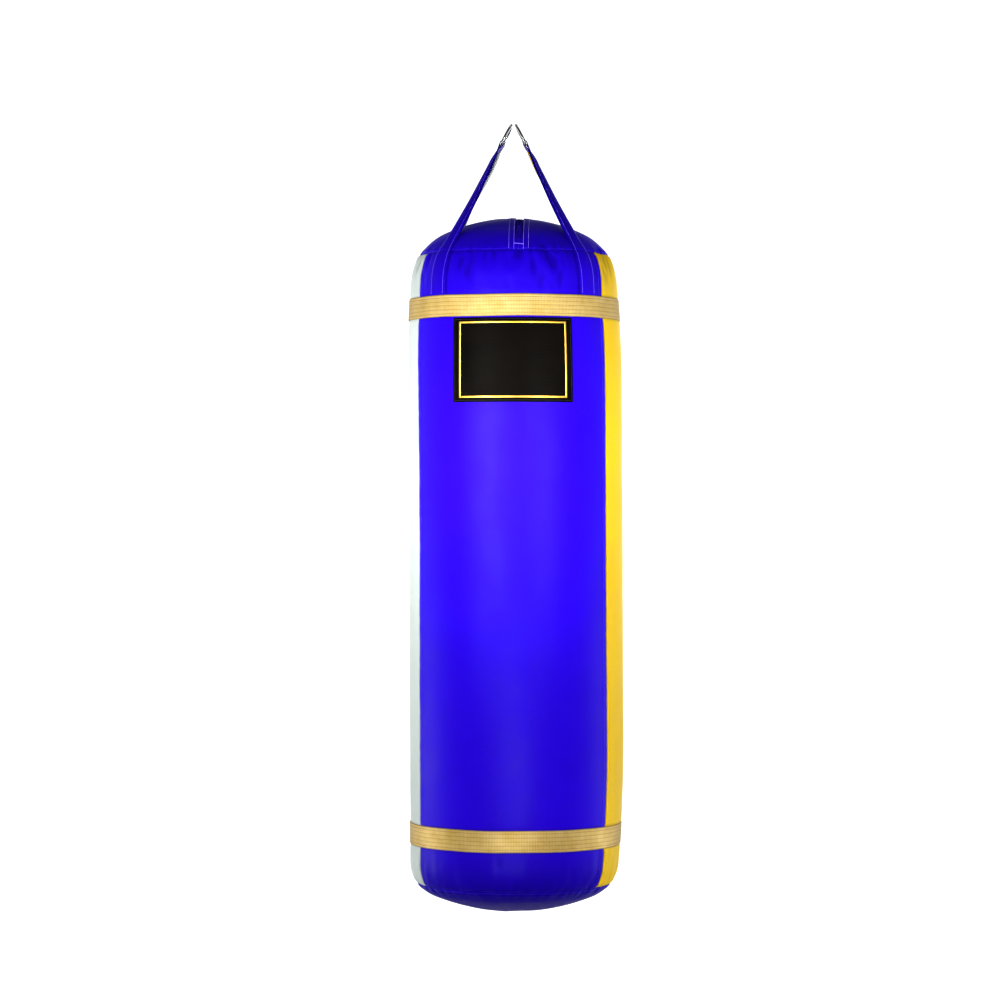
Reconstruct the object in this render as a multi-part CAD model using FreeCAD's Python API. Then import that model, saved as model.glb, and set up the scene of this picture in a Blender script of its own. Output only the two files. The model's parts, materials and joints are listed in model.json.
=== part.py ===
"""Hanging boxing bag: panelled cover, padding, filling, four hanger straps, two D-rings, top zip.

Millimetres, +Z up. The origin is the hang point, the inside of the D-rings' arch, where a hook
bears. The front, with the label, faces -Y. An azimuth is counted from the front towards +X.
"""
import FreeCAD
import Part
import math
import os

V = FreeCAD.Vector
ORIGIN = V(0, 0, 0)
UP = V(0, 0, 1)

# --- body outline -----------------------------------------------------------------------
body_height = 1220.0
body_radius = 188.5
dome_top_z = -163.0            # top of the body below the hang point
top_crown_radius = 286.0       # arc over the top cap
top_crown_edge = 124.0         # radius from the axis at which that arc ends
top_shoulder_radius = 103.0
top_shoulder_slope = 85.8      # degrees from level at which the shoulder runs into the barrel
bottom_crown_radius = 378.0
bottom_crown_edge = 142.0
bottom_corner_radius = 68.0
bottom_corner_slope = 88.0
bottom_z = dome_top_z - body_height

# --- cover and layers, as distances below the outer surface --------------------------------
lay_gap = 0.3                  # air left between two layers
cover_thickness = 1.5
backing_thickness = 1.2
liner_thickness = 1.0
foam_thickness = 17.4
backing_depth = cover_thickness + lay_gap
liner_depth = backing_depth + backing_thickness + lay_gap
foam_depth = liner_depth + liner_thickness + lay_gap
filling_depth = foam_depth + foam_thickness + lay_gap
liner_edge_drop = 2.0          # the liner ends this far below the cap's seam

top_seam_z = -229.0            # cap to panel
bottom_seam_z = -1333.0
panel_count = 3
panel_angle = 360.0 / panel_count
front_panel_azimuth = -2.5     # the front panel's middle is a little left of the label's
seam_gap = 0.4                 # between two neighbouring cover pieces

top_pad_depth = 12.0           # room above the pad for the zip slider
top_pad_base_z = -235.0
bottom_pad_top_z = -1339.0

# --- bands and label -----------------------------------------------------------------------
upper_band_top_z = -306.0
lower_band_top_z = -1225.0
band_width = 38.0
lower_band_thickness = 2.0
upper_band_height = 3.8        # proud of the cover, so that the straps pass under it
band_pocket_room = 0.5         # round each strap end under the band
label_width_angle = 65.5
label_top_z = -346.5
label_height = 145.0
label_thickness = 1.0

# --- straps --------------------------------------------------------------------------------
strap_azimuth = 45.0
strap_width = 40.0             # flat on the cover
strap_leg_width = 24.0         # where it leaves the dome
strap_thickness = 2.2
strap_end_z = upper_band_top_z - 32.0
strap_leave_slope = 53.5       # slope of the dome where the strap leaves it
strap_anchor_stop = 3.0        # the sewn end's solid stops this far below that point
strap_leg_start = 21.0         # free leg's solid begins this far beyond the fold
strap_leg_thickness = 3.0
strap_leg_sections = 5
strap_leg_overlap = 0.3        # how far the leg runs into the loop
strap_fold_width = 21.5        # gathered on the ring
strap_layer = 2.0              # one layer of the loop round the ring
strap_layer_air = 1.0          # between the two layers below the loop
strip_reach = 30.0             # degrees of skin drawn each side of a strip's middle
backing_width = 56.0
backing_top_z = -243.0
backing_bottom_z = -350.0

# --- D-rings -------------------------------------------------------------------------------
ring_wire = 5.0
ring_inner_width = 50.0
ring_corner_radius = 5.0
ring_bar_x = 21.7
ring_bar_z = -33.4
ring_lean = 26.8               # degrees from upright, towards the hook
ring_height = 40.0             # bar to arch, centre line to centre line
ring_clearance = 0.3

# --- zip -----------------------------------------------------------------------------------
zip_x = 12.0                   # the zip runs front to back, a little right of the middle
zip_slot_width = 14.0
zip_slot_half_length = 152.0
zip_tape_half_width = 17.0
zip_tape_half_length = 155.0
zip_tape_thickness = 0.8
zip_tape_depth = cover_thickness + lay_gap
zip_tape_seat = 0.1            # between the teeth and the tape's edge
zip_chain_half_length = 121.0
zip_chain_half_gap = 0.7
zip_chain_half_width = 3.6
zip_chain_top_depth = 0.8
zip_chain_bottom_depth = 3.8
zip_stop_length = 3.2
slider_length = 20.0
slider_lip_length = 12.0
slider_width = 11.0
slider_plate = 1.6
slider_top_gap = 0.4
slider_bottom_gap = 0.6
slider_web_half = 0.4
slider_web_length = 15.0
slider_flange = 1.3
slider_flange_top_reach = 0.7
slider_flange_bottom_reach = 0.9
slider_park_angle = 22.8
corner_share = 0.6             # corner radius of slider and pull, against half their width
lug_width = 2.4
lug_length = 6.0
lug_axis_height = 2.5          # above the slider's top plate
lug_radius = 2.2
lug_root = 0.5                 # how far the lug reaches into the plate
pull_pin_radius = 1.2
pull_pin_clearance = 0.08
pull_cheek = 1.4
pull_cheek_gap = 0.3
pull_eye_wall = 0.3            # round the pin's end
pull_length = 34.0
pull_width = 9.0
pull_thickness = 1.6
pull_window = 6.5              # from the pin to the solid tab
pull_tilt = 6.0
pull_hole_radius = 1.8

far = 400.0                    # larger than any radius of the bag
overlap = 1.0                  # how far joined or cutting solids run past each other
upright = 0.9                  # an edge whose direction has at least this much Z runs along Z


def sine(degrees):
    return math.sin(math.radians(degrees))


def cosine(degrees):
    return math.cos(math.radians(degrees))


# ============================================================================ body outline
def end_arcs(end_z, side, crown_radius, crown_edge, corner_radius, corner_slope):
    """Three tangent arcs from the axis to the barrel: (centre r, centre z, radius, slope range).

    side is 1 at the top of the body and -1 at the bottom. A slope is counted from level.
    """
    edge_slope = math.degrees(math.asin(crown_edge / crown_radius))
    crown_z = end_z - side * crown_radius
    corner_r = (crown_radius - corner_radius) * sine(edge_slope)
    corner_z = crown_z + side * (crown_radius - corner_radius) * cosine(edge_slope)
    reach = corner_r + corner_radius * sine(corner_slope)
    barrel_radius = (body_radius - reach) / (1.0 - sine(corner_slope))
    barrel_r = body_radius - barrel_radius
    barrel_z = corner_z + side * (corner_radius - barrel_radius) * cosine(corner_slope)
    return [
        (0.0, crown_z, crown_radius, 0.0, edge_slope),
        (corner_r, corner_z, corner_radius, edge_slope, corner_slope),
        (barrel_r, barrel_z, barrel_radius, corner_slope, 90.0),
    ]


TOP_ARCS = end_arcs(dome_top_z, 1, top_crown_radius, top_crown_edge,
                    top_shoulder_radius, top_shoulder_slope)
BOTTOM_ARCS = end_arcs(bottom_z, -1, bottom_crown_radius, bottom_crown_edge,
                       bottom_corner_radius, bottom_corner_slope)


def outline_point(arc, side, slope, depth):
    centre_r, centre_z, radius = arc[:3]
    reach = radius - depth
    return V(centre_r + reach * sine(slope), 0, centre_z + side * reach * cosine(slope))


def arc_edge(arc, side, depth):
    first, last = arc[3:]
    points = [outline_point(arc, side, s, depth) for s in (first, (first + last) / 2, last)]
    return Part.Arc(*points).toShape()


def outline_face(depth):
    """Half section of the body, its surface moved inwards by depth (outwards if negative)."""
    top = [arc_edge(arc, 1, depth) for arc in TOP_ARCS]
    bottom = [arc_edge(arc, -1, depth) for arc in reversed(BOTTOM_ARCS)]
    side_top = outline_point(TOP_ARCS[-1], 1, 90.0, depth)
    side_bottom = outline_point(BOTTOM_ARCS[-1], -1, 90.0, depth)
    axis_top = outline_point(TOP_ARCS[0], 1, 0.0, depth)
    axis_bottom = outline_point(BOTTOM_ARCS[0], -1, 0.0, depth)
    side = Part.makeLine(side_top, side_bottom)
    axis = Part.makeLine(axis_bottom, axis_top)
    edges = Part.sortEdges(top + [side] + bottom + [axis])[0]
    return Part.Face(Part.Wire(edges))


def level_face(z_low, z_high):
    corners = [V(0, 0, z_low), V(far, 0, z_low), V(far, 0, z_high), V(0, 0, z_high), V(0, 0, z_low)]
    return Part.Face(Part.makePolygon(corners))


def turned(face, start=0.0, sweep=360.0):
    """Revolve a half section about the bag's axis, from one azimuth through an angle."""
    placed = face.copy()
    placed.rotate(ORIGIN, UP, start - 90.0)
    return single(placed.revolve(ORIGIN, UP, sweep))


def single(shape):
    """The one solid in a shape."""
    if shape.ShapeType == "Solid":
        return shape
    if len(shape.Solids) != 1:
        raise ValueError("expected one solid, found %d" % len(shape.Solids))
    return shape.Solids[0]


def layer(outer_depth, inner_depth, z_low, z_high, start=0.0, sweep=360.0):
    """A skin between two depths and two levels, over a range of azimuths."""
    skin = outline_face(outer_depth).cut(outline_face(inner_depth))
    return turned(skin.common(level_face(z_low, z_high)), start, sweep)


def core(depth, z_low, z_high):
    """Everything inside one depth, between two levels."""
    return turned(outline_face(depth).common(level_face(z_low, z_high)))


def box_between(low, high):
    return Part.makeBox(high[0] - low[0], high[1] - low[1], high[2] - low[2], V(*low))


# ==================================================================================== cover
def panel(index):
    """One of the equal panels; panel 0 is the front one, the others follow towards +X."""
    half_gap = math.degrees(seam_gap / 2 / body_radius)
    start = front_panel_azimuth + (index - 0.5) * panel_angle + half_gap
    return layer(0.0, cover_thickness, bottom_seam_z, top_seam_z, start,
                 panel_angle - 2 * half_gap)


def top_cap(side):
    """Half of the top cap, on one side of the zip: side is -1 left, 1 right."""
    cap = layer(0.0, cover_thickness, top_seam_z + seam_gap, dome_top_z)
    slot_low = (zip_x - zip_slot_width / 2, -zip_slot_half_length, top_seam_z)
    slot_high = (zip_x + zip_slot_width / 2, zip_slot_half_length, dome_top_z + overlap)
    cap = cap.cut(box_between(slot_low, slot_high))
    edge = zip_x + side * seam_gap / 2
    low_x, high_x = (edge, far) if side > 0 else (-far, edge)
    half = box_between((low_x, -far, top_seam_z), (high_x, far, dome_top_z + overlap))
    return single(cap.common(half))


def bottom_cap():
    return layer(0.0, cover_thickness, bottom_z, bottom_seam_z - seam_gap)


def label_patch():
    return layer(-lay_gap - label_thickness, -lay_gap, label_top_z - label_height, label_top_z,
                 -label_width_angle / 2, label_width_angle)


def upper_band():
    """The band over the strap ends, with a pocket at each strap."""
    low = upper_band_top_z - band_width
    band = layer(-upper_band_height, -lay_gap, low, upper_band_top_z)
    width = strap_width + 2 * band_pocket_room
    corners = strip_outline(width, width, strap_end_z - band_pocket_room,
                            upper_band_top_z + overlap)
    for azimuth in STRAPS.values():
        band = band.cut(skin_strip(azimuth, -strap_thickness - 2 * lay_gap, 0.0, corners))
    return single(band)


def lower_band():
    low = lower_band_top_z - band_width
    return layer(-lay_gap - lower_band_thickness, -lay_gap, low, lower_band_top_z)


# ================================================================================= inside
def liner():
    return layer(liner_depth, liner_depth + liner_thickness, bottom_z,
                 top_seam_z - liner_edge_drop)


def foam_wrap():
    return layer(foam_depth, foam_depth + foam_thickness, bottom_pad_top_z + lay_gap,
                 top_pad_base_z - lay_gap)


def top_foam_pad():
    return core(top_pad_depth, top_pad_base_z, dome_top_z)


def bottom_foam_pad():
    return core(foam_depth, bottom_z, bottom_pad_top_z)


def filling():
    return core(filling_depth, bottom_pad_top_z + lay_gap, top_pad_base_z - lay_gap)


# ================================================================================= straps
STRAPS = {
    "front_left": -strap_azimuth,
    "front_right": strap_azimuth,
    "back_left": -(180.0 - strap_azimuth),
    "back_right": 180.0 - strap_azimuth,
}


def strip_outline(bottom_width, top_width, z_low, z_high):
    """Four corners of a strip, as (across, level)."""
    return [(-bottom_width / 2, z_low), (bottom_width / 2, z_low),
            (top_width / 2, z_high), (-top_width / 2, z_high)]


def skin_strip(azimuth, outer_depth, inner_depth, corners):
    """A strip with the given outline, lying on the body at one azimuth."""
    points = [V(across, 0, level) for across, level in corners]
    points.append(points[0])
    prism = Part.Face(Part.makePolygon(points)).extrude(V(0, -far, 0))
    prism.rotate(ORIGIN, UP, azimuth)
    levels = [level for _, level in corners]
    skin = layer(outer_depth, inner_depth, min(levels), max(levels),
                 azimuth - strip_reach, 2 * strip_reach)
    return single(skin.common(prism))


def strap_leave_point(azimuth):
    """Middle of the strap's thickness where it leaves the dome."""
    height = lay_gap + strap_thickness / 2
    point = outline_point(TOP_ARCS[1], 1, strap_leave_slope, -height)
    return V(point.x * sine(azimuth), -point.x * cosine(azimuth), point.z)


def strap_anchor(azimuth):
    """The sewn end: full width under the band, gathered where it leaves the dome."""
    leave_z = strap_leave_point(azimuth).z - strap_anchor_stop
    corners = [(-strap_width / 2, strap_end_z), (strap_width / 2, strap_end_z),
               (strap_width / 2, upper_band_top_z), (strap_leg_width / 2, leave_z),
               (-strap_leg_width / 2, leave_z), (-strap_width / 2, upper_band_top_z)]
    return skin_strip(azimuth, -lay_gap - strap_thickness, -lay_gap, corners)


def strap_backing(azimuth):
    """Patch inside the cover that the strap's stitching goes through."""
    corners = strip_outline(backing_width, backing_width, backing_bottom_z, backing_top_z)
    return skin_strip(azimuth, backing_depth, backing_depth + backing_thickness, corners)


def section(centre, across, through, width, thickness):
    corners = [centre + across * (i * width / 2) + through * (j * thickness / 2)
               for i, j in ((-1, -1), (1, -1), (1, 1), (-1, 1))]
    return Part.makePolygon(corners + [corners[0]])


def strap_leg(azimuth):
    """Free part of one strap, turning from flat on the dome to square on the ring's bar."""
    side_x = 1.0 if azimuth > 0 else -1.0
    side_y = -1.0 if abs(azimuth) < 90 else 1.0
    foot = strap_leave_point(azimuth)
    bar_y = side_y * (ring_clearance + strap_fold_width / 2)
    head = V(side_x * ring_bar_x, bar_y, ring_bar_z)
    run = head - foot
    slant = V(run.x, 0, run.z)
    slant.normalize()
    flat_across = V(-side_x, side_y, 0)
    flat_across.normalize()
    bar_across = V(0, side_y, 0)
    loop_inner = ring_wire / 2 + ring_clearance
    loop_outer = loop_inner + strap_layer
    head_stop = (loop_inner + loop_outer) / 2 - strap_leg_overlap
    start = strap_leg_start / run.Length
    end = 1.0 - head_stop / run.Length
    doubled = 2 * strap_layer + strap_layer_air
    sections = []
    for number in range(strap_leg_sections):
        share = start + (end - start) * number / (strap_leg_sections - 1)
        across = flat_across * (1 - share) + bar_across * share
        across.normalize()
        through = run.cross(across)
        through.normalize()
        width = strap_leg_width + (strap_fold_width - strap_leg_width) * share
        thickness = strap_leg_thickness + (doubled - strap_leg_thickness) * share
        sections.append(section(foot + run * share, across, through, width, thickness))
    leg = Part.makeLoft(sections, True, True)
    trim = Part.makeBox(far, far, strap_leg_start + far)
    trim.translate(V(-far / 2, -far / 2, -far))
    trim.Placement = FreeCAD.Placement(foot, FreeCAD.Rotation(UP, slant)).multiply(trim.Placement)
    leg = leg.cut(trim)
    base = V(head.x, bar_y - strap_fold_width / 2, head.z)
    loop = Part.makeCylinder(loop_outer, strap_fold_width, base, V(0, 1, 0))
    eye = Part.makeCylinder(loop_inner, far, V(head.x, -far / 2, head.z), V(0, 1, 0))
    return single(leg.fuse(loop).cut(eye).removeSplitter())


# ================================================================================== rings
def d_ring(side):
    """Closed D-ring of round wire: bar along Y, arch above it leaning towards the hook."""
    half = (ring_inner_width + ring_wire) / 2
    corner = ring_corner_radius
    arch_z = ring_height - half
    diagonal = corner * (1 - cosine(45.0))
    bar_end = half - corner
    edges = [Part.makeLine(V(0, -bar_end, 0), V(0, bar_end, 0))]
    for s in (1, -1):
        bend = Part.Arc(V(0, s * bar_end, 0), V(0, s * (half - diagonal), diagonal),
                        V(0, s * half, corner))
        edges.append(bend.toShape())
        edges.append(Part.makeLine(V(0, s * half, corner), V(0, s * half, arch_z)))
    arch = Part.Arc(V(0, half, arch_z), V(0, 0, ring_height), V(0, -half, arch_z))
    edges.append(arch.toShape())
    path = Part.Wire(Part.sortEdges(edges)[0])
    start = path.OrderedEdges[0]
    begin = start.valueAt(start.FirstParameter)
    along = start.tangentAt(start.FirstParameter)
    wire = Part.Wire(Part.makeCircle(ring_wire / 2, begin, along))
    ring = path.makePipeShell([wire], True, True)
    ring.rotate(ORIGIN, V(0, 1, 0), -side * ring_lean)
    ring.translate(V(side * ring_bar_x, 0, ring_bar_z))
    return single(ring)


# ==================================================================================== zip
def zip_tape(side):
    inner = zip_chain_half_width + zip_tape_seat
    low_x, high_x = sorted((zip_x + side * inner, zip_x + side * zip_tape_half_width))
    skin = layer(zip_tape_depth, zip_tape_depth + zip_tape_thickness, top_seam_z, dome_top_z)
    half = zip_tape_half_length
    return single(skin.common(box_between((low_x, -half, top_seam_z), (high_x, half, 0))))


def zip_chain(side):
    """The moulded teeth of one side, as one rib."""
    low_x, high_x = sorted((zip_x + side * zip_chain_half_gap, zip_x + side * zip_chain_half_width))
    skin = layer(zip_chain_top_depth, zip_chain_bottom_depth, top_seam_z, dome_top_z)
    half = zip_chain_half_length
    return single(skin.common(box_between((low_x, -half, top_seam_z), (high_x, half, 0))))


def zip_stop(side):
    """End stop of the zip: side is -1 at the front, 1 at the back."""
    near = zip_chain_half_length + lay_gap
    low_y, high_y = sorted((side * near, side * (near + zip_stop_length)))
    skin = layer(zip_chain_top_depth, zip_chain_bottom_depth, top_seam_z, dome_top_z)
    half = zip_chain_half_width
    return single(skin.common(box_between((zip_x - half, low_y, top_seam_z),
                                          (zip_x + half, high_y, 0))))


CROWN_CENTRE = V(zip_x, 0, dome_top_z - top_crown_radius)
zip_top_z = CROWN_CENTRE.z + math.sqrt(top_crown_radius ** 2 - zip_x ** 2)
slider_top_z = zip_top_z - zip_chain_top_depth + slider_top_gap + slider_plate
slider_base_z = zip_top_z - zip_chain_bottom_depth - slider_bottom_gap - slider_plate
lug_axis_z = slider_top_z + lug_axis_height


def parked(shape):
    """Move a piece drawn at the top of the crown to the zip's closed end, at the back."""
    shape.rotate(CROWN_CENTRE, V(1, 0, 0), -slider_park_angle)
    return single(shape)


def upright_edges(shape):
    return [e for e in shape.Edges if abs(e.tangentAt(e.FirstParameter).z) > upright]


def slider_plate_at(z_low, flange_low, flange_high):
    """A rounded plate with a lip down each long side."""
    half = slider_width / 2
    plate = box_between((zip_x - half, -slider_length / 2, z_low),
                        (zip_x + half, slider_length / 2, z_low + slider_plate))
    plate = plate.makeFillet(half * corner_share, upright_edges(plate))
    for side in (-1, 1):
        low_x, high_x = sorted((zip_x + side * (half - slider_flange), zip_x + side * half))
        lip = box_between((low_x, -slider_lip_length / 2, flange_low),
                          (high_x, slider_lip_length / 2, flange_high))
        plate = plate.fuse(lip)
    return plate


def zip_slider():
    """Two plates joined by a thin web that runs between the chains, and the lug for the pull."""
    top_plate_z = slider_top_z - slider_plate
    top = slider_plate_at(top_plate_z, top_plate_z - slider_flange_top_reach, slider_top_z)
    base_top_z = slider_base_z + slider_plate
    base = slider_plate_at(slider_base_z, slider_base_z, base_top_z + slider_flange_bottom_reach)
    web = box_between((zip_x - slider_web_half, -slider_web_length / 2, slider_base_z),
                      (zip_x + slider_web_half, slider_web_length / 2, slider_top_z))
    lug = box_between((zip_x - lug_width / 2, -lug_length / 2, slider_top_z - lug_root),
                      (zip_x + lug_width / 2, lug_length / 2, lug_axis_z))
    start = V(zip_x - lug_width / 2, 0, lug_axis_z)
    crown = Part.makeCylinder(lug_radius, lug_width, start, V(1, 0, 0))
    hole_radius = pull_pin_radius + pull_pin_clearance
    hole = Part.makeCylinder(hole_radius, slider_width, V(zip_x - slider_width / 2, 0, lug_axis_z),
                             V(1, 0, 0))
    body = top.fuse([base, web, lug, crown]).cut(hole).removeSplitter()
    return parked(body)


def zip_pull():
    """Tab with a window over the lug and a pin through it, lying back over the cap."""
    inner = lug_width / 2 + pull_cheek_gap
    outer = inner + pull_cheek
    pin = Part.makeCylinder(pull_pin_radius, 2 * outer, V(zip_x - outer, 0, lug_axis_z), V(1, 0, 0))
    half_thick = pull_thickness / 2
    pieces = []
    for side in (-1, 1):
        low_x, high_x = sorted((zip_x + side * inner, zip_x + side * outer))
        pieces.append(box_between((low_x, 0, lug_axis_z - half_thick),
                                  (high_x, pull_window + overlap, lug_axis_z + half_thick)))
        pieces.append(Part.makeCylinder(pull_pin_radius + pull_eye_wall, pull_cheek,
                                        V(low_x, 0, lug_axis_z), V(1, 0, 0)))
    half = pull_width / 2
    tab = box_between((zip_x - half, pull_window, lug_axis_z - half_thick),
                      (zip_x + half, pull_length, lug_axis_z + half_thick))
    tab = tab.makeFillet(half * corner_share, upright_edges(tab))
    hole = Part.makeCylinder(pull_hole_radius, pull_width,
                             V(zip_x, pull_length - half, lug_axis_z - half), UP)
    pull = pin.fuse(pieces + [tab]).cut(hole).removeSplitter()
    pull.rotate(V(zip_x, 0, lug_axis_z), V(1, 0, 0), -pull_tilt)
    return parked(pull)


# ================================================================================= output
def build():
    nodes = {
        "front_panel": panel(0),
        "right_panel": panel(1),
        "left_panel": panel(2),
        "top_cap_left": top_cap(-1),
        "top_cap_right": top_cap(1),
        "bottom_cap": bottom_cap(),
        "upper_band": upper_band(),
        "lower_band": lower_band(),
        "label_patch": label_patch(),
        "liner": liner(),
        "foam_wrap": foam_wrap(),
        "top_foam_pad": top_foam_pad(),
        "bottom_foam_pad": bottom_foam_pad(),
        "filling": filling(),
        "left_ring": d_ring(-1),
        "right_ring": d_ring(1),
        "zip_tape_left": zip_tape(-1),
        "zip_tape_right": zip_tape(1),
        "zip_chain_left": zip_chain(-1),
        "zip_chain_right": zip_chain(1),
        "zip_stop_front": zip_stop(-1),
        "zip_stop_back": zip_stop(1),
        "zip_slider": zip_slider(),
        "zip_pull": zip_pull(),
    }
    for place, azimuth in STRAPS.items():
        nodes["strap_anchor_" + place] = strap_anchor(azimuth)
        nodes["strap_backing_" + place] = strap_backing(azimuth)
        nodes["strap_leg_" + place] = strap_leg(azimuth)
    return nodes


def main():
    os.makedirs("parts", exist_ok=True)
    for name, shape in build().items():
        if not shape.isValid():
            raise ValueError(name + " is not a valid solid")
        shape.exportStep("parts/" + name + ".step")


main()
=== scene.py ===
import bmesh
import bpy
import json
import math
import numpy as np
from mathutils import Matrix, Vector


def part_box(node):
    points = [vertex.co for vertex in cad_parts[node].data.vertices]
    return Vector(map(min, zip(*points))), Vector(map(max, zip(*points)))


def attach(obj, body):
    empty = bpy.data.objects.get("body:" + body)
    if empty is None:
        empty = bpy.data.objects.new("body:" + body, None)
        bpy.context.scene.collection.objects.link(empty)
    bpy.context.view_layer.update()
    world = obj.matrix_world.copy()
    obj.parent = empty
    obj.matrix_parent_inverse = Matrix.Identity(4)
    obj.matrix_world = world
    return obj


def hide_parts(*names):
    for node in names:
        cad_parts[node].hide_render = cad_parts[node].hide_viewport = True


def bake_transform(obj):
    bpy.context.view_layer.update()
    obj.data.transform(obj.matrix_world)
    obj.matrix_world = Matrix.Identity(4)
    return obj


# A stuffed hanging bag: the cover, bands, label, straps and zip are modelled over the CAD frame.
# az is the angle round the bag from its front, s the distance along the skin from the top's middle.
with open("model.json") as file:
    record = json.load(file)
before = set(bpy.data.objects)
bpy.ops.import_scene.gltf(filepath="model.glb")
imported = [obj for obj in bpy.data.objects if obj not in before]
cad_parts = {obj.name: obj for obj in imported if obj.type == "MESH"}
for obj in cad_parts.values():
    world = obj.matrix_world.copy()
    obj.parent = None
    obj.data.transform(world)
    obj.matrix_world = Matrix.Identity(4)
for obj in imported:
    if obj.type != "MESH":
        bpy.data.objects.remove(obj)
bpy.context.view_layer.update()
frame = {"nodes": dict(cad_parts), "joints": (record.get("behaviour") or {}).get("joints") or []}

MM = 0.001
TURN = 2 * math.pi


# --------- small helpers
def smooth(x, low, high):
    """0 up to low, 1 from high, a smooth step between them."""
    t = np.clip((np.asarray(x, float) - low) / (high - low), 0, 1)
    return t * t * (3 - 2 * t)


def bump(x, centre, width):
    return np.exp(-(((x - centre) / width) ** 2))


def spread(start, *legs):
    """Positions from start through each leg's (end, step), evenly spaced in each leg."""
    parts = []
    for end, step in legs:
        parts.append(np.linspace(start, end, max(1, round(abs(end - start) / step)), endpoint=False))
        start = end
    return np.concatenate(parts + [[start]])


def full_turn(count):
    """The angles of count places evenly round the bag."""
    return np.arange(count) * TURN / count


def numbered(rows, columns, closed=True):
    """Point numbers of a grid; closed repeats the first column after the last."""
    index = np.arange(rows * columns).reshape(rows, columns)
    return np.c_[index, index[:, :1]] if closed else index


def unit(v):
    v = np.asarray(v, float)
    return v / np.linalg.norm(v, axis=-1, keepdims=True)


def wander(az, s, seed, turns, length, waves=16):
    """Smooth random field of about -1 to 1: up to turns waves round the bag, one per length along."""
    rng = np.random.default_rng(seed)
    total = np.zeros(np.broadcast(az, s).shape)
    for _ in range(waves):
        round_it = rng.integers(-turns, turns + 1)
        along = rng.uniform(-1, 1) * TURN / length
        total += np.cos(round_it * az + along * s + rng.uniform(0, TURN))
    return total / math.sqrt(waves)


def away(az, azimuths, r):
    """Distance round the bag, at radius r, from the nearest of the lines up the bag at some azimuths."""
    return np.min([np.abs((az - azimuth + math.pi) % TURN - math.pi) for azimuth in azimuths], axis=0) * r


def joint_at(name):
    joint = next(j for j in frame["joints"] if j["name"] == name)
    return np.array(joint["pos_m"], float)


# --------- levels, read from the CAD
body_radius = -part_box("front_panel")[0].y
dome_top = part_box("top_cap_left")[1].z
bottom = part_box("bottom_cap")[0].z
top_seam_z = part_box("front_panel")[1].z
bottom_seam_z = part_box("front_panel")[0].z
upper_band = (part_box("upper_band")[0].z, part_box("upper_band")[1].z)
lower_band = (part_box("lower_band")[0].z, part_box("lower_band")[1].z)
label_low, label_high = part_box("label_patch")
slot_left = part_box("zip_tape_left")
slot_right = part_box("zip_tape_right")
zip_x = (slot_left[0].x + slot_right[1].x) / 2
strap_end_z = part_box("strap_anchor_front_left")[0].z

cover_thickness = 1.5 * MM
lay_gap = 0.3 * MM
seam_half = 0.2 * MM
slot_half = 7 * MM
slot_end = 152 * MM
strap_azimuths = {place: math.radians(angle) for place, angle in
                  (("front_left", -45), ("front_right", 45), ("back_left", -135), ("back_right", 135))}
front_panel_azimuth = math.radians(-2.5)
half_panel = math.radians(60)
seam_azimuths = [front_panel_azimuth + turn for turn in (-half_panel, half_panel, math.pi)]


# --------- body outline
def end_arcs(end_z, side, crown_radius, crown_edge, corner_radius, corner_slope):
    """Three tangent arcs from the axis to the barrel: centre r, centre z, radius, first and last slope."""
    edge_slope = math.asin(crown_edge / crown_radius)
    last_slope = math.radians(corner_slope)
    crown_z = end_z - side * crown_radius
    corner_r = (crown_radius - corner_radius) * math.sin(edge_slope)
    corner_z = crown_z + side * (crown_radius - corner_radius) * math.cos(edge_slope)
    reach = corner_r + corner_radius * math.sin(last_slope)
    barrel_radius = (body_radius - reach) / (1 - math.sin(last_slope))
    barrel_z = corner_z + side * (corner_radius - barrel_radius) * math.cos(last_slope)
    return [
        (0.0, crown_z, crown_radius, 0.0, edge_slope),
        (corner_r, corner_z, corner_radius, edge_slope, last_slope),
        (body_radius - barrel_radius, barrel_z, barrel_radius, last_slope, math.pi / 2),
    ]


def outline():
    """Distance from the top along the skin, and r, z and the normal there."""
    top = end_arcs(dome_top, 1, 286 * MM, 124 * MM, 103 * MM, 85.8)
    low = end_arcs(bottom, -1, 378 * MM, 142 * MM, 68 * MM, 88.0)
    points_per_arc = 90
    rows = []
    for side, arcs in ((1, top), (-1, low[::-1])):
        for r, z, radius, first, last in arcs:
            slope = np.linspace(first, last, points_per_arc)[::side]
            rows.append(np.c_[r + radius * np.sin(slope), z + side * radius * np.cos(slope),
                              np.sin(slope), side * np.cos(slope)])
    rows = np.concatenate(rows)
    step = np.hypot(*np.diff(rows[:, :2], axis=0).T)
    rows = rows[np.r_[True, step > 1e-7]]
    return np.r_[0, np.cumsum(np.hypot(*np.diff(rows[:, :2], axis=0).T))], rows


LINE_S, LINE = outline()


def s_at_z(z):
    return np.interp(-np.asarray(z), -LINE[:, 1], LINE_S)


def s_at_r(r):
    rising = slice(0, int(np.argmax(LINE[:, 0])) + 1)
    return np.interp(r, LINE[rising, 0], LINE_S[rising])


def r_at(s):
    return np.interp(s, LINE_S, LINE[:, 0])


s_top_seam = s_at_z(top_seam_z)
s_bottom_seam = s_at_z(bottom_seam_z)


def plain_skin(az, s, lift=0.0):
    """Point on the body's outline, and the outward normal there."""
    az, s, lift = np.broadcast_arrays(az, s, lift)
    r, z, nr, nz = (np.interp(s, LINE_S, column) for column in LINE.T)
    normal = np.stack([nr * np.sin(az), -nr * np.cos(az), nz], -1)
    return np.stack([r * np.sin(az), -r * np.cos(az), z], -1) + normal * lift[..., None], normal


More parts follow.
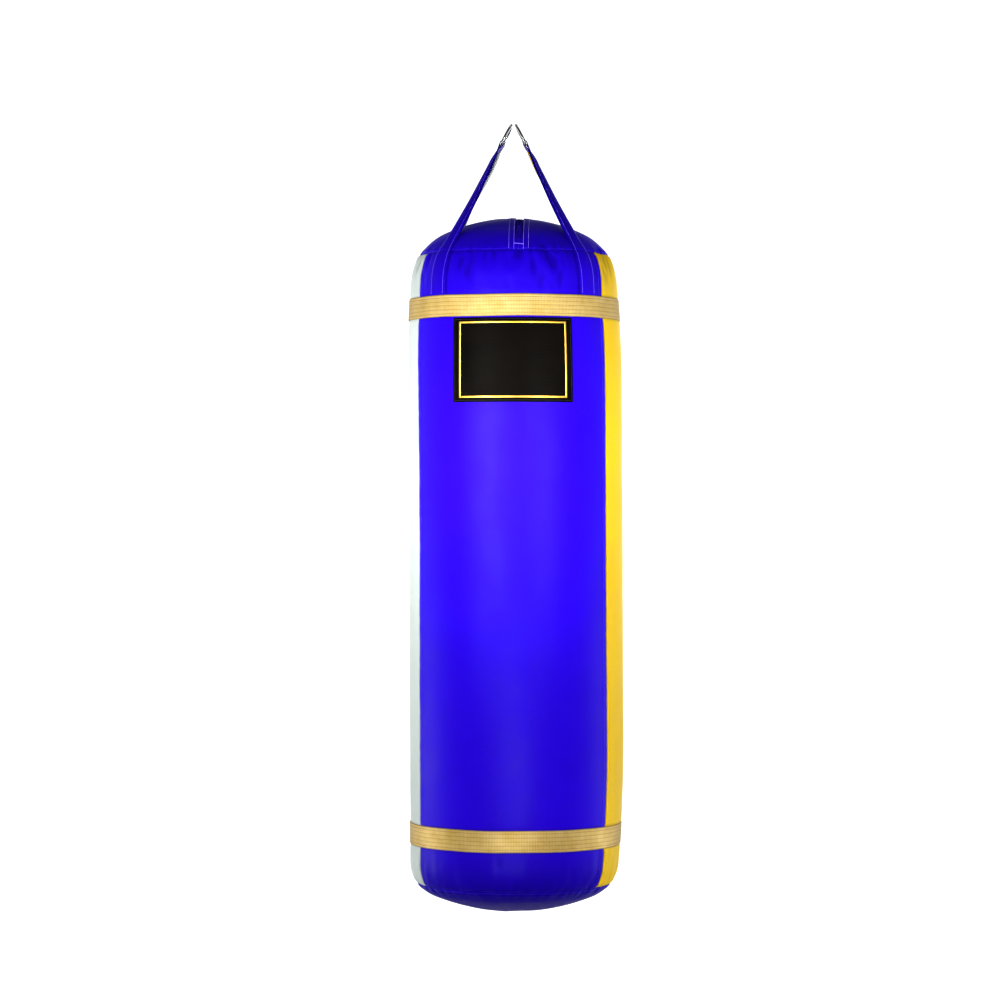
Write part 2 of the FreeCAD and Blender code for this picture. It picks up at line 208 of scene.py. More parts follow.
def sway(z):
    """The filled barrel leans a few millimetres to the right below the upper band."""
    levels = [-1.5, -1.37, -1.24, -1.14, -0.75, -0.40, -0.25, 0.2]
    shifts_mm = [-2.0, -2.0, 3.0, 4.8, 4.8, 1.8, 0, 0]
    fine = np.linspace(levels[0], levels[-1], 400)
    reach = 30
    kernel = bump(np.linspace(-1, 1, 2 * reach + 1), 0, 0.5)
    shift = np.pad(np.interp(fine, levels, shifts_mm), reach, "edge")
    return np.interp(z, fine, np.convolve(shift, kernel / kernel.sum(), "valid")) * MM


# --------- puckers, by cloth simulation
class Gathers:
    """Cloth sewn to a ring with more cloth than room: its movement along the skin's normal."""
    columns = 288
    step = 4 * MM
    frames = 20

    def __init__(self, name, s_from, s_to, s_seam, cloth_side, excess, seed):
        self.s = np.arange(s_from, s_to + self.step / 2, self.step)
        az, s = np.meshgrid(full_turn(self.columns), self.s)
        beyond = cloth_side * (s - s_seam)
        uneven = 0.75 + 0.45 * wander(az, 0 * s, seed, 9, 1)
        reach, share = np.where(beyond > 0, 55 * MM, 16 * MM), np.where(beyond > 0, 1, 0.8)
        more = np.clip(uneven, 0.15, 1.5) * np.exp(-np.abs(beyond) / reach) * share
        held = bump(s, s_seam, self.step * 0.6)
        held[[0, -1]] = 1
        under_strap = smooth(-away(az, strap_azimuths.values(), r_at(s)), -37 * MM, -29 * MM)
        held = np.maximum(held, (cloth_side > 0) * under_strap)
        x = r_at(s) * np.sin(az)
        held = np.maximum(held, (s < s_top_seam) * smooth(-np.abs(x - zip_x), -24 * MM, -18 * MM))
        self.out = self.simulate(name, az, s, more, held, excess, seed, cloth_side, s_seam)

    def simulate(self, name, az, s, more, held, excess, seed, cloth_side, s_seam):
        rng = np.random.default_rng(seed)
        points, normals = plain_skin(az, s, rng.normal(0, 0.12 * MM, az.shape))
        start, _ = plain_skin(az, s)
        rows, columns = az.shape
        obj = mesh_object(name, points.reshape(-1, 3), grid_quads(numbered(rows, columns)))
        pin = obj.vertex_groups.new(name="pin")
        slack = obj.vertex_groups.new(name="slack")
        for i, (hold, extra) in enumerate(zip(held.ravel(), more.ravel())):
            if hold > 0.02:
                pin.add([i], float(min(1, hold)), "REPLACE")
            slack.add([i], float(1 - min(1, extra)), "REPLACE")
        cloth = obj.modifiers.new("cloth", "CLOTH")
        settings = dict(
            quality=5, mass=0.08, tension_stiffness=40, compression_stiffness=40, shear_stiffness=12,
            bending_stiffness=1.2, vertex_group_mass="pin", vertex_group_shrink="slack",
            shrink_min=-excess, shrink_max=0, use_pressure=True, uniform_pressure_force=0.8)
        for key, value in settings.items():
            setattr(cloth.settings, key, value)
        cloth.settings.effector_weights.gravity = 0
        cloth.collision_settings.use_collision = False
        cloth.point_cache.frame_start = 1
        cloth.point_cache.frame_end = self.frames
        for number in range(1, self.frames + 1):
            bpy.context.scene.frame_set(number)
        shaped = obj.evaluated_get(bpy.context.evaluated_depsgraph_get()).to_mesh()
        moved = np.zeros(len(shaped.vertices) * 3)
        shaped.vertices.foreach_get("co", moved)
        bpy.context.scene.frame_set(1)
        bpy.data.objects.remove(obj)
        out = ((moved.reshape(rows, columns, 3) - start) * normals).sum(-1)
        return self.pressed(out, cloth_side * (s - s_seam), (1.4 if cloth_side > 0 else 0.6) * MM)

    def pressed(self, out, beyond, height):
        """The folds as the stuffing leaves them: no grid-sized buckles, no wide swelling."""
        most_waves, least_waves, smoothings = 105, 42, 9
        waves = np.fft.rfft(out, axis=1)
        k = np.arange(waves.shape[1])
        kept = np.exp(-(k / most_waves) ** 2) * (1 - np.exp(-(k / least_waves) ** 2))
        out = np.fft.irfft(waves * kept, n=self.columns, axis=1)
        for _ in range(smoothings):
            out[1:-1] = (out[:-2] + 2 * out[1:-1] + out[2:]) / 4
        level = np.sqrt((out ** 2).mean(axis=1, keepdims=True))
        on_cloth = height * smooth(beyond, -6 * MM, 6 * MM) * bump(beyond, 0, 55 * MM)
        on_cap = 0.8 * MM * bump(beyond, 0, 14 * MM)
        return np.clip(out * np.where(beyond > 0, on_cloth, on_cap) / level, -3.4 * MM, 3 * MM)

    def at(self, az, s):
        """Smooth lookup, zero outside the simulated ring."""
        az, s = np.broadcast_arrays(az, s)
        rows = len(self.s)
        u = np.clip((s - self.s[0]) / self.step, 0, rows - 1.001)
        v = (az / TURN * self.columns) % self.columns
        i, j = np.floor(u).astype(int), np.floor(v).astype(int)
        total = 0
        for a, wu in enumerate(spline_weights(u - i)):
            row = np.clip(i + a - 1, 0, rows - 1)
            for b, wv in enumerate(spline_weights(v - j)):
                total = total + wu * wv * self.out[row, (j + b - 1) % self.columns]
        inside = (s > self.s[0]) & (s < self.s[-1])
        return np.where(inside, total, 0)


def spline_weights(f):
    return ((1 - f) ** 3 / 6, (3 * f ** 3 - 6 * f ** 2 + 4) / 6,
            (-3 * f ** 3 + 3 * f ** 2 + 3 * f + 1) / 6, f ** 3 / 6)


# --------- meshes
def grid_quads(a):
    return np.stack([a[:-1, :-1], a[1:, :-1], a[1:, 1:], a[:-1, 1:]], -1).reshape(-1, 4)


def add_object(name, data):
    obj = bpy.data.objects.new(name, data)
    bpy.context.collection.objects.link(obj)
    return obj


def mesh_object(name, points, quads, merge=False):
    mesh = bpy.data.meshes.new(name)
    mesh.vertices.add(len(points))
    mesh.vertices.foreach_set("co", np.ascontiguousarray(points, np.float32).ravel())
    mesh.loops.add(quads.size)
    mesh.loops.foreach_set("vertex_index", np.ascontiguousarray(quads, np.int32).ravel())
    mesh.polygons.add(len(quads))
    mesh.polygons.foreach_set("loop_start", np.arange(0, quads.size, 4, dtype=np.int32))
    mesh.update(calc_edges=True)
    if merge:
        work = bmesh.new()
        work.from_mesh(mesh)
        bmesh.ops.remove_doubles(work, verts=work.verts, dist=2e-6)
        work.to_mesh(mesh)
        work.free()
    mesh.polygons.foreach_set("use_smooth", np.ones(len(mesh.polygons), bool))
    mesh.set_sharp_from_angle(angle=math.radians(48))
    return add_object(name, mesh)


def shell(name, outer, inner, closed=False, merge=False):
    """Closed skin between two grids of points; closed joins the last column to the first."""
    down = np.diff(outer, axis=0)[:, :-1]
    across = np.diff(outer, axis=1)[:-1]
    if (np.cross(down, across) * (outer - inner)[:-1, :-1]).sum() < 0:
        outer, inner = outer[::-1], inner[::-1]
    rows, columns = outer.shape[:2]
    o = numbered(rows, columns, closed)
    i = o + rows * columns
    quads = [grid_quads(o), grid_quads(i)[:, ::-1],
             np.stack([o[0, :-1], o[0, 1:], i[0, 1:], i[0, :-1]], -1),
             np.stack([o[-1, 1:], o[-1, :-1], i[-1, :-1], i[-1, 1:]], -1)]
    if not closed:
        quads.append(np.stack([o[:-1, 0], i[:-1, 0], i[1:, 0], o[1:, 0]], -1))
        quads.append(np.stack([i[:-1, -1], o[:-1, -1], o[1:, -1], i[1:, -1]], -1))
    points = np.concatenate([outer.reshape(-1, 3), inner.reshape(-1, 3)])
    return mesh_object(name, points, np.concatenate(quads), merge)


def pills(name, centre, along, up, length, width, height):
    """Many small rounded bars in one mesh, one at each centre."""
    stations = [-1, -0.9, -0.62, 0.62, 0.9, 1]
    sizes = [0.4, 0.8, 1, 1, 0.8, 0.4]
    sides = 6
    shape = np.array([[t * length / 2, math.cos(a) * size * width / 2, math.sin(a) * size * height / 2]
                      for t, size in zip(stations, sizes) for a in full_turn(sides)])
    along = unit(along)
    side = unit(np.cross(up, along))
    up = np.cross(along, side)
    axes = np.stack([along, side, up], 1)
    points = centre[:, None] + np.einsum("kj,njc->nkc", shape, axes)
    ring = numbered(len(stations), sides)
    ends = []
    for r, flip in ((ring[0], 1), (ring[-1], -1)):
        ends.append([r[[0, 1, 2, 3]][::flip], r[[0, 3, 4, 5]][::flip]])
    quads = np.concatenate([grid_quads(ring)[:, ::-1], np.concatenate(ends)])[:, ::-1]
    quads = (quads[None] + (np.arange(len(centre)) * len(shape))[:, None, None]).reshape(-1, 4)
    return mesh_object(name, points.reshape(-1, 3), quads)


def pick(at, length, rows):
    return np.stack([np.interp(at, length, column) for column in rows.T], -1)


def stitched(paths, pitch):
    """Centre, direction and normal of each stitch along some (points, normals) lines."""
    found = []
    for points, normals in paths:
        length = np.r_[0, np.cumsum(np.linalg.norm(np.diff(points, axis=0), axis=1))]
        count = max(2, round(length[-1] / pitch))
        at = (np.arange(count) + 0.5) * length[-1] / count
        ahead, behind = (pick(at + step, length, points) for step in (pitch / 2, -pitch / 2))
        found.append((pick(at, length, points), ahead - behind, pick(at, length, normals)))
    return [np.concatenate(part) for part in zip(*found)]


def stitches(name, paths, pitch, length=2.9 * MM, thick=0.75 * MM):
    """A row of stitches, a little sunk into the cloth, along each (points, normals) line."""
    raised, flatness = 0.24, 0.8
    middle, along, up = stitched(paths, pitch)
    return pills(name, middle + unit(up) * thick * raised, along, up, length, thick, thick * flatness)


# --------- relief of the filled cover
upper_gathers = Gathers("top_gathers", s_at_r(92 * MM), s_at_z(upper_band[1]),
                        s_top_seam, 1, 0.09, 11)
lower_gathers = Gathers("bottom_gathers", s_at_z(lower_band[0]),
                        float(LINE_S[-1] - 95 * MM), s_bottom_seam, -1, 0.05, 12)
placket_lines = (8.2 * MM, 16.8 * MM)      # stitch lines, from the zip's middle
bar_tack_y = 158.5 * MM


stitch_dent = 0.4 * MM
band_dent = 0.7 * MM


def broad(az, s):
    """Wide, shallow swelling of the filled barrel."""
    return 0.8 * MM * wander(az, s, 3, 4, 0.5) * smooth(s, 0.1, 0.3)


def groove(gap, depth, ridge, ridge_at):
    """A sewn-down line with the cloth bulging at both sides of it."""
    return ridge * bump(gap, ridge_at, 5 * MM) - depth * bump(gap, 0, 1.5 * MM)


def relief(az, s):
    """How far the stuffed cover stands out from the CAD outline."""
    az, s = np.broadcast_arrays(az, s)
    r = r_at(s)
    out = broad(az, s) + 0.22 * MM * wander(az, s, 4, 11, 0.10)
    out = out + upper_gathers.at(az, s) + lower_gathers.at(az, s)
    for seam in (s_top_seam, s_bottom_seam):
        out = out + groove(np.abs(s - seam), 1.1 * MM, 0.5 * MM, 8 * MM)
    panels = smooth(s, s_top_seam, s_top_seam + 4 * MM) * smooth(-s, -s_bottom_seam, 4 * MM - s_bottom_seam)
    for number, seam in enumerate(seam_azimuths):
        gap = away(az, [seam], r)
        pucker = 0.16 * MM * wander(0 * az, s, 20 + number, 0, 0.016, 24)
        out = out + panels * (groove(gap, 1.5 * MM, 0.45 * MM, 7 * MM) + pucker * bump(gap, 5 * MM, 6 * MM))
    for low, high in (upper_band, lower_band):
        start, end, slope = s_at_z(high), s_at_z(low), 9 * MM
        out = out - band_dent * smooth(s, start - slope, start) * smooth(-s, -end - slope, -end)
    cap = smooth(-s, -s_top_seam, 3 * MM - s_top_seam)
    off = np.abs(r * np.sin(az) - zip_x)
    out = out + cap * 0.6 * MM * smooth(-off, -20 * MM, -17.5 * MM)
    for line in placket_lines:
        out = out - cap * stitch_dent * bump(off, line, 0.9 * MM)
    tack = bump(np.abs(r * np.cos(az)), bar_tack_y, 0.9 * MM) * smooth(-off, -9 * MM, -8 * MM)
    return out - cap * stitch_dent * tack


def skin(az, s, lift=0.0):
    """Points on the stuffed cover, or lift above it."""
    az, s, lift = np.broadcast_arrays(az, s, lift)
    points, _ = plain_skin(az, s, relief(az, s) + lift)
    points[..., 0] += sway(points[..., 2])
    return points


def skin_line(az, s, lift=0.0):
    """Points along a line on the cover, with the normals there."""
    az, s = np.broadcast_arrays(az, s)
    return skin(az, s, lift), plain_skin(az, s)[1]


def plan_to_skin(x, y):
    """Azimuth and distance along the skin of points on the top cap, from above."""
    return np.arctan2(x, -y), s_at_r(np.hypot(x, y))


# --------- materials
class Nodes:
    """Short calls for the nodes of a material or a world."""

    def __init__(self, owner, shader, place):
        owner.use_nodes = True
        self.tree = owner.node_tree
        self.shader = self.tree.nodes[shader]
        self.place = self.add("ShaderNodeTexCoord").outputs[place]

    def feed(self, sockets, values):
        """Link each value that is a socket, and set the others as constants."""
        for socket, value in zip(sockets, values):
            if isinstance(value, bpy.types.NodeSocket):
                self.tree.links.new(value, socket)
            else:
                socket.default_value = value

    def add(self, kind, **inputs):
        node = self.tree.nodes.new(kind)
        self.feed([node.inputs[key.replace("_", " ")] for key in inputs], inputs.values())
        return node

    def maths(self, operation, a, b=0.0, c=0.0):
        node = self.add("ShaderNodeMath")
        node.operation = operation
        self.feed(node.inputs, (a, b, c))
        return node.outputs[0]

    def noise(self, scale, detail=3.0, rough=0.5, stretch=None):
        vector = self.place
        if stretch:
            vector = self.add("ShaderNodeMapping", Vector=self.place, Scale=stretch).outputs[0]
        return self.add("ShaderNodeTexNoise", Vector=vector, Scale=scale, Detail=detail,
                        Roughness=rough).outputs["Fac"]

    def span(self, value, low, high, to_low=0, to_high=1):
        node = self.add("ShaderNodeMapRange")
        self.feed(node.inputs, (value, low, high, to_low, to_high))
        return node.outputs[0]

    def mix(self, share, a, b):
        node = self.add("ShaderNodeMix")
        node.data_type = "RGBA"
        self.feed([node.inputs[0], node.inputs[6], node.inputs[7]], (share, a, b))
        return node.outputs[2]


class Maker(Nodes):
    """A principled material."""

    def __init__(self, name, rough, metallic=0.0, specular=0.5, **sockets):
        self.material = bpy.data.materials.new(name)
        super().__init__(self.material, "Principled BSDF", "Object")
        sockets.update(Roughness=rough, Metallic=metallic, Specular_IOR_Level=specular)
        for socket, value in sockets.items():
            self.shader.inputs[socket.replace("_", " ")].default_value = value

    def painted_shade(self):
        """The stored painted shade, 0 to 1."""
        node = self.add("ShaderNodeAttribute")
        node.attribute_name = "painted_shade"
        return node.outputs["Fac"]

    def colour(self, socket):
        self.tree.links.new(socket, self.shader.inputs["Base Color"])

    def roughness(self, socket):
        self.tree.links.new(socket, self.shader.inputs["Roughness"])

    def bumps(self, *layers):
        """Layers of (height socket, distance in metres, strength)."""
        normal = None
        for height, distance, strength in layers:
            node = self.add("ShaderNodeBump", Height=height, Distance=distance, Strength=strength)
            if normal is not None:
                self.tree.links.new(normal, node.inputs["Normal"])
            normal = node.outputs[0]
        self.tree.links.new(normal, self.shader.inputs["Normal"])

    def cylinder_grid(self, columns, pitch):
        """Waves of 0 to 1 round the axis and along it."""
        parts = self.add("ShaderNodeSeparateXYZ", Vector=self.place).outputs
        angle = self.maths("ARCTAN2", parts[0], parts[1])
        around = self.maths("SINE", self.maths("MULTIPLY", angle, float(columns)))
        along = self.maths("SINE", self.maths("MULTIPLY", parts[2], TURN / pitch))
        return (self.span(around, -1, 1), self.span(along, -1, 1))


def rgb(text):
    """Linear colour from a display colour in hex."""
    values = [int(text[i:i + 2], 16) / 255 for i in (0, 2, 4)]
    return tuple(v / 12.92 if v <= 0.04045 else ((v + 0.055) / 1.055) ** 2.4 for v in values) + (1.0,)


def coated_cloth(name, light, dark, rough, specular):
    """Leather-grained coated cloth: fine grain, soft tone variation, and painted shade in the seams and
    creases.
    """
    m = Maker(name, rough, specular=specular)
    wide = m.noise(5.0, 3.0, 0.55)
    cloudy = m.noise(22.0, 4.0, 0.6)
    share = m.maths("ADD", m.span(wide, 0.3, 0.7, 0, 0.7), m.span(cloudy, 0.3, 0.7, 0, 0.3))
    tone = m.mix(share, dark, light)
    # deep is the colour of the painted shade
    deep = tuple(c * 0.35 for c in dark[:3]) + (1.0,)
    m.colour(m.mix(m.maths("MULTIPLY", m.painted_shade(), 0.8), tone, deep))
    grain = m.add("ShaderNodeTexVoronoi", Vector=m.place, Scale=900.0)
    grain.feature = "DISTANCE_TO_EDGE"
    fine = m.noise(1600.0, 2.0, 0.6)
    m.roughness(m.span(cloudy, 0.3, 0.7, rough - 0.05, rough + 0.07))
    m.bumps((m.span(grain.outputs["Distance"], 0, 0.25), 0.12 * MM, 0.35),
            (fine, 0.08 * MM, 0.25), (m.noise(60.0, 4.0, 0.6), 0.5 * MM, 0.35))
    return m.material


def woven_gold():
    """Metallic ribbon: fine crossing threads, long ribs, with painted shade along its edges and in its rib
    lines.
    """
    m = Maker("band_gold", 0.5, metallic=0.4, specular=0.4)
    around, along = m.cylinder_grid(430, 1.5 * MM)
    threads = m.maths("MULTIPLY", around, along)
    shade = m.noise(30.0, 3.0, 0.6)
    fleck = m.noise(900.0, 2.0, 0.6)
    warm = m.mix(m.span(shade, 0.3, 0.7), rgb("d2b66c"), rgb("ead396"))
    tone = m.mix(m.span(threads, 0, 0.5, 0.5, 0), warm, rgb("8a6a22"))
    # painted shade: the gold darkens where the band turns away from the view
    facing = m.add("ShaderNodeLayerWeight", Blend=0.5)
    turned = m.mix(m.span(facing.outputs["Facing"], 0.45, 1, 0, 0.7), tone, rgb("8a7034"))
    # painted shade stored on the band: its edges and rib lines
    edge = m.mix(m.painted_shade(), turned, rgb("6f571c"))
    m.colour(m.mix(m.span(fleck, 0.55, 0.75, 0, 0.3), edge, rgb("fff2c4")))
    m.roughness(m.span(fleck, 0.3, 0.7, 0.46, 0.62))
    m.bumps((threads, 0.25 * MM, 0.7), (fleck, 0.1 * MM, 0.4))
    return m.material


def label_cloth():
    m = Maker("label_black", 0.6, specular=0.05)
    lines = m.cylinder_grid(200, 2.4 * MM)[1]
    wide = m.noise(14.0, 3.0, 0.6)
    tone = m.mix(m.span(wide, 0.3, 0.7), rgb("0b0907"), rgb("15110d"))
    m.colour(m.mix(m.span(lines, 0.8, 1, 0, 0.25), tone, rgb("2c251c")))
    grain = m.add("ShaderNodeTexVoronoi", Vector=m.place, Scale=1100.0)
    m.roughness(m.span(wide, 0.3, 0.7, 0.42, 0.58))
    m.bumps((grain.outputs["Distance"], 0.1 * MM, 0.3), (lines, 0.12 * MM, 0.35))
    return m.material


def metal(name, light, dark, rough, scratch_scale):
    m = Maker(name, rough, metallic=1.0)
    cloud = m.noise(60.0, 4.0, 0.6)
    scratches = m.noise(scratch_scale, 3.0, 0.7, stretch=(1.0, 1.0, 6.0))
    m.colour(m.mix(m.span(cloud, 0.35, 0.7), light, dark))
    m.roughness(m.span(scratches, 0.3, 0.75, rough * 0.8, rough * 1.4))
    m.bumps((scratches, 0.01 * MM, 0.1))
    return m.material


def thread(name, light, dark):
    m = Maker(name, 0.55, specular=0.4, Sheen_Weight=0.2)
    twist = m.add("ShaderNodeTexWave", Vector=m.place, Scale=700.0, Distortion=2.0)
    m.colour(m.mix(m.noise(500.0), dark, light))
    m.bumps((twist.outputs["Fac"], 0.15 * MM, 0.5))
    return m.material


def fibrous(name, light, dark, scale, depth, rough, weave=None):
    """Matt fibres, with a weave of (threads round the bag, pitch along it) if there is one."""
    m = Maker(name, rough, specular=0.1)
    coarse = m.noise(scale, 5.0, 0.65)
    m.colour(m.mix(m.span(coarse, 0.3, 0.7), dark, light))
    m.roughness(m.span(coarse, 0.3, 0.7, rough - 0.12, rough))
    layers = [(coarse, depth, 0.6)]
    if weave:
        around, along = m.cylinder_grid(*weave)
        layers.append((m.maths("MULTIPLY", around, along), 0.2 * MM, 0.6))
    m.bumps(*layers)
    return m.material


blue = coated_cloth("cover_blue", (0.034, 0.0008, 0.62, 1), (0.027, 0.0005, 0.54, 1), 0.42, 0.09)
white = coated_cloth("cover_white", rgb("c6cfcb"), rgb("bcc5c1"), 0.45, 0.15)
yellow = coated_cloth("cover_yellow", rgb("e6c420"), rgb("ddb912"), 0.45, 0.12)
gold = woven_gold()
black = label_cloth()
frame_gold = metal("frame_gold", rgb("f0c968"), rgb("d6a840"), 0.38, 300.0)
chrome = metal("ring_chrome", rgb("e2e4e2"), rgb("c2c6c3"), 0.2, 400.0)
zip_metal = metal("zip_metal", rgb("c9c6be"), rgb("94908a"), 0.24, 500.0)
bright_thread = thread("bright_thread", rgb("b39dff"), rgb("8f75ff"))
violet_thread = thread("violet_thread", rgb("a48cff"), rgb("7458f0"))
blue_thread = thread("blue_thread", rgb("5a3cff"), rgb("3414e0"))
dark_thread = thread("dark_thread", rgb("2a2320"), rgb("161210"))
gold_thread = thread("gold_thread", rgb("e2c67a"), rgb("b08f42"))
white_thread = thread("white_thread", rgb("eef4f0"), rgb("cfd8d2"))
tape_cloth = fibrous("zip_tape", (0.03, 0.001, 0.5, 1), (0.022, 0.001, 0.4, 1), 900.0, 0.1 * MM, 0.7,
                     (700, 0.9 * MM))
teeth_blue = fibrous("zip_teeth", (0.024, 0.001, 0.42, 1), (0.018, 0.001, 0.32, 1), 300.0, 0.05 * MM, 0.55)
lining = fibrous("lining_cloth", rgb("a2a2a5"), rgb("8e8e92"), 500.0, 0.1 * MM, 0.9, (600, 1.2 * MM))
foam = fibrous("padding_foam", rgb("d2d2ce"), rgb("bcbcb8"), 400.0, 0.6 * MM, 0.95)
shreds = fibrous("shredded_textile", rgb("8d8f96"), rgb("3f4654"), 55.0, 4 * MM, 0.95)


def finish_piece(obj, material, slot=None, *nodes):
    obj.data.materials.append(material)
    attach(obj, "bag")
    if nodes:
        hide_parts(*nodes)


def sew(name, paths, material, pitch, **sizes):
    """Stitches that stay on the bag."""
    finish_piece(stitches(name, paths, pitch, **sizes), material)


def store_painted_shade(obj, values):
    """Store the painted shade of each point, 0 to 1, for the material to darken by."""
    attribute = obj.data.attributes.new("painted_shade", "FLOAT", "POINT")
    attribute.data.foreach_set("value", np.clip(values, 0, 1).astype(np.float32).ravel())


def crease(az, s):
    """Painted shade of the cover, 0 to 1: 1 in a panel seam, less in the cap seams, beside the straps' edges,
    along the bands' edges and in the folds; 0 on open cloth.
    """
    r = r_at(s)
    found = 0.5 * np.maximum(bump(s, s_top_seam, 1.2 * MM), bump(s, s_bottom_seam, 1.2 * MM))
    panels = (s > s_top_seam) & (s < s_bottom_seam)
    found = np.maximum(found, panels * bump(away(az, seam_azimuths, r), 0, 1.4 * MM))
    strapped = smooth(s, s_top_seam - 6 * MM, s_top_seam) * (s < s_at_z(upper_band[0]))
    strap_edge = bump(away(az, strap_azimuths.values(), r), 20.6 * MM, 1.3 * MM)
    found = np.maximum(found, 0.9 * strapped * strap_edge)
    for low, high in (upper_band, lower_band):
        for edge in (s_at_z(high) - 0.6 * MM, s_at_z(low) + 0.6 * MM):
            found = np.maximum(found, 0.6 * bump(s, edge, 1.2 * MM))
    folds = upper_gathers.at(az, s) + lower_gathers.at(az, s)
    return np.maximum(found, 0.5 * smooth(-folds, 0.2 * MM, 1.8 * MM))


# --------- cover
def level_s(co, x):
    """Distance along the skin of points near it: by level on the barrel, by radius on the top."""
    by_radius = s_at_r(np.minimum(np.hypot(x, co[:, 1]), body_radius))
    return np.where(co[:, 2] > top_seam_z + 12 * MM, by_radius, s_at_z(co[:, 2]))


def cover(name, node, az, s, material, slot, closed=False, merge=False):
    """A piece of the cover, with painted shade in its creases; on the blue also painted shade towards the
    underside.
    """
    az, s = np.broadcast_arrays(az, s)
    obj = shell(name, skin(az, s), skin(az, s, -cover_thickness), closed, merge)
    co = np.zeros(len(obj.data.vertices) * 3)
    obj.data.vertices.foreach_get("co", co)
    co = co.reshape(-1, 3)
    x = co[:, 0] - sway(co[:, 2])
    level = level_s(co, x)
    values = crease(np.arctan2(x, -co[:, 1]), level)
    # painted shade: the blue darkens towards the underside, which gets less light
    if material is blue:
        underside = smooth(level, s_bottom_seam - 100 * MM, s_bottom_seam + 40 * MM)
        values = np.maximum(values, 0.9 * underside)
    store_painted_shade(obj, values)
    finish_piece(obj, material, slot, node)


seam_strip, seam_step = 9 * MM, 0.8 * MM      # finer mesh beside a cap seam
fold_step, barrel_step = 1.7 * MM, 4.2 * MM


def panel(name, node, turn, material, slot):
    middle = front_panel_azimuth + turn
    half = half_panel - seam_half / body_radius
    strip, fine, coarse = (width / body_radius for width in (10 * MM, 0.9 * MM, 2.7 * MM))
    az = spread(middle - half, (middle - half + strip, fine), (middle + half - strip, coarse),
                (middle + half, fine))
    s = spread(s_top_seam + seam_half, (s_top_seam + seam_strip, seam_step),
               (s_at_z(upper_band[0]), fold_step), (s_at_z(lower_band[1]), barrel_step),
               (s_bottom_seam - seam_strip, fold_step), (s_bottom_seam - seam_half, seam_step))
    cover(name, node, az[None, :], s[:, None], material, slot)


def top_cap(name, node, side):
    """Half of the top cap, as a fan from the zip's slot to the seam."""
    rim = r_at(s_top_seam - seam_half)
    edge_x = zip_x + side * seam_half
    edge_y = math.sqrt(rim ** 2 - edge_x ** 2)
    y = spread(-edge_y, (-slot_end - 2 * MM, 1.0 * MM), (-slot_end + 8 * MM, 0.7 * MM),
               (slot_end - 8 * MM, 2.0 * MM), (slot_end + 2 * MM, 0.7 * MM), (edge_y, 1.0 * MM))
    half_gap = 0.05 * MM          # between the halves beyond the slot
    inner_x = zip_x + side * half_gap + side * (slot_half - half_gap) * smooth(slot_end - np.abs(y), 0, 5 * MM)
    front, back = math.atan2(edge_x, edge_y), math.atan2(edge_x, -edge_y)
    if side < 0:
        back -= TURN
    az = front + (back - front) * (y + edge_y) / (2 * edge_y)
    u = spread(0, (0.02, 0.006), (0.16, 0.009), (0.9, 0.016), (1, 0.006))
    x = inner_x[:, None] * (1 - u) + (rim * np.sin(az))[:, None] * u
    y = y[:, None] * (1 - u) + (-rim * np.cos(az))[:, None] * u
    cover(name, node, *plan_to_skin(x, y), blue, "cover_blue", merge=True)


def bottom_cap(name, node):
    az = full_turn(440)
    s = spread(s_bottom_seam + seam_half, (s_bottom_seam + seam_strip, seam_step),
               (LINE_S[-1] - 95 * MM, 1.8 * MM), (LINE_S[-1], 4 * MM))
    cover(name, node, az[None, :], s[:, None], blue, "cover_blue", closed=True, merge=True)


panel("cover_front", "front_panel", 0, blue, "cover_blue")
panel("cover_right", "right_panel", 2 * half_panel, yellow, "cover_yellow")
panel("cover_left", "left_panel", -2 * half_panel, white, "cover_white")
top_cap("cover_top_left", "top_cap_left", -1)
top_cap("cover_top_right", "top_cap_right", 1)
bottom_cap("cover_bottom", "bottom_cap")


def inside_layer(name, node, depths, z_low, z_high, material, slot):
    """A layer under the cover that follows it."""
    az = full_turn(120)[None, :]
    s = spread(s_at_z(z_high), (s_at_z(z_low), 12 * MM))[:, None]
    obj = shell(name, skin(az, s, -depths[0]), skin(az, s, -depths[1]), closed=True)
    finish_piece(obj, material, slot, node)
    return obj


inside_layer("inner_liner", "liner", (3.3 * MM, 4.3 * MM), bottom_seam_z - 12 * MM, top_seam_z - 2 * MM,
             lining, "lining_cloth")
wrap = inside_layer("inner_foam", "foam_wrap", (4.6 * MM, 22 * MM), bottom_seam_z + 1.3 * MM,
                    top_seam_z - 6.3 * MM, foam, "padding_foam")


def backing(place):
    """The patch inside the cover that a strap's stitching goes through."""
    node = "strap_backing_" + place
    low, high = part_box(node)
    middle, half = strap_azimuths[place], 28 * MM / body_radius
    az = spread(middle - half, (middle + half, 4 * MM / body_radius))[None, :]
    s = spread(s_at_z(high.z), (s_at_z(low.z), 4 * MM))[:, None]
    obj = shell("backing_" + place, skin(az, s, -1.8 * MM), skin(az, s, -3 * MM))
    finish_piece(obj, lining, "lining_cloth", node)


for place in strap_azimuths:
    backing(place)


# --------- bands and label
strap_lift = 2.5 * MM                        # a strap's top above the cover
rib_lines = (0.14, 0.32, 0.5, 0.68, 0.86)    # across the band, 0 to 1


def over_straps(az, r):
    """How far a band is lifted by the straps under it."""
    lift = 1 - smooth(away(az, strap_azimuths.values(), r), 17 * MM, 58 * MM)
    return lift * (strap_lift - lay_gap)


def band_skin(az, s, lift):
    """Under a band the cover is pressed to a smooth, slightly sunk surface."""
    points, normals = plain_skin(az, s, broad(az, s) - band_dent + lift)
    points[..., 0] += sway(points[..., 2])
    return points, normals


